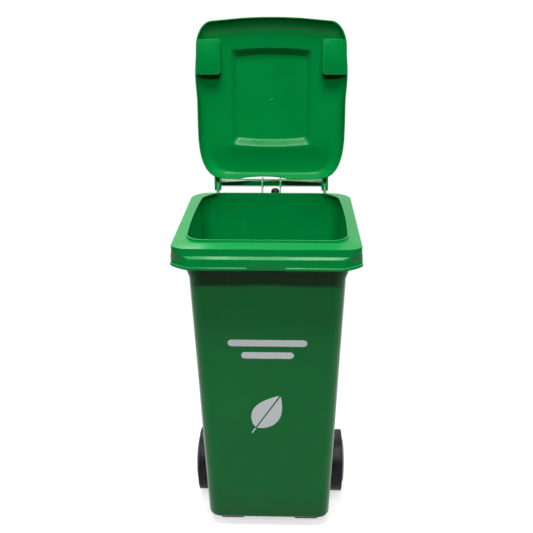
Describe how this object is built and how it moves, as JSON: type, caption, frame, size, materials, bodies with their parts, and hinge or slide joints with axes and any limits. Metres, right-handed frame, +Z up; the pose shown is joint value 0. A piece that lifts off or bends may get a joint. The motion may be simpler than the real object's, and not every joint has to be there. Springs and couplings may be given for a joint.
{
  "type": "wheeled waste container",
  "caption": "Moulded household waste bin on wheels, with a tapered tub, overhanging rim, grip bar and a domed lid hinged at the rear.",
  "frame": {"origin": "on the ground, under the middle of the bounding box with the lid open", "axes": "+Z up, the front of the bin faces -Y, +X is to the right seen from the front"},
  "size_m": [0.475, 0.5682, 1.4286],
  "materials": {
    "green_moulding": "satin, lightly textured polyethylene",
    "black_moulding": "satin black polypropylene",
    "grey_moulding": "plain grey nylon",
    "tyre_rubber": "matt solid rubber",
    "bright_steel": "zinc plated"
  },
  "bodies": {
    "bin": {"bin_body": "green_moulding", "left_hinge_pin": "black_moulding", "right_hinge_pin": "black_moulding", "lid_buffer": "tyre_rubber", "axle": "bright_steel", "left_axle_bush": "grey_moulding", "right_axle_bush": "grey_moulding", "left_spacer": "grey_moulding", "right_spacer": "grey_moulding", "left_push_nut": "bright_steel", "right_push_nut": "bright_steel"},
    "lid": {"lid": "green_moulding"},
    "left_wheel": {"left_hub": "black_moulding", "left_tyre": "tyre_rubber", "left_wheel_cover": "black_moulding"},
    "right_wheel": {"right_hub": "black_moulding", "right_tyre": "tyre_rubber", "right_wheel_cover": "black_moulding"}
  },
  "joints": [
    {"name": "lid_hinge", "type": "hinge", "parent": "bin", "child": "lid", "pos_m": [0, 0.22587, 0.95], "axis": [1, 0, 0], "range_deg": [0, 94.4]},
    {"name": "left_wheel_spin", "type": "hinge", "parent": "bin", "child": "left_wheel", "pos_m": [-0.203, 0.08987, 0.095], "axis": [1, 0, 0], "continuous": true},
    {"name": "right_wheel_spin", "type": "hinge", "parent": "bin", "child": "right_wheel", "pos_m": [0.203, 0.08987, 0.095], "axis": [1, 0, 0], "continuous": true}
  ]
}
